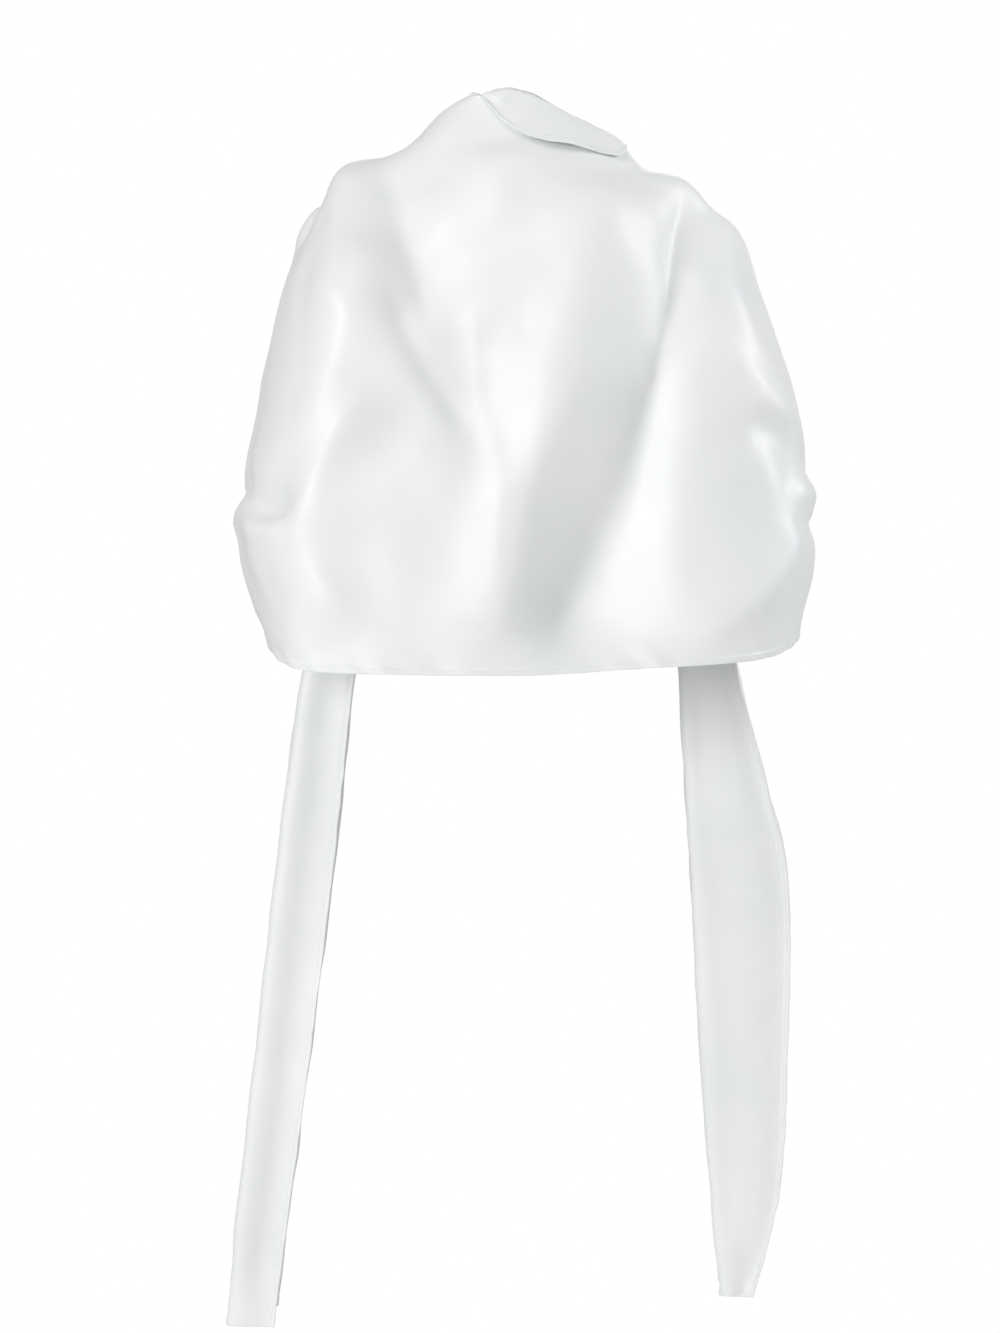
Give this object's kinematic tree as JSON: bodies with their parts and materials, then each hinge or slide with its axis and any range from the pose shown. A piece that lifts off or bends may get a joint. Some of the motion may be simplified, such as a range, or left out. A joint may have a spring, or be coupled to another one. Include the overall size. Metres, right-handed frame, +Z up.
{
  "type": "evening stole",
  "caption": "Long plain white satin evening stole as worn: it crosses the back, wraps the bent arms, and its ends go over the forearms and hang in soft folds.",
  "frame": {"origin": "between the shoulders at the base of the neck, where the wearer carries the stole", "axes": "+Z up, +Y the way the wearer faces, +X to the wearer's right"},
  "size_m": [0.5994, 0.3651, 1.2366],
  "materials": {
    "satin": "white satin, smooth and softly shining, single layer"
  },
  "bodies": {
    "root": {"back": "satin", "collar_fold": "satin", "left_arm_wrap": "satin", "right_arm_wrap": "satin", "left_elbow_wrap": "satin", "right_elbow_wrap": "satin", "left_forearm_wrap": "satin", "right_forearm_wrap": "satin", "left_end": "satin", "right_end": "satin"}
  },
  "joints": []
}
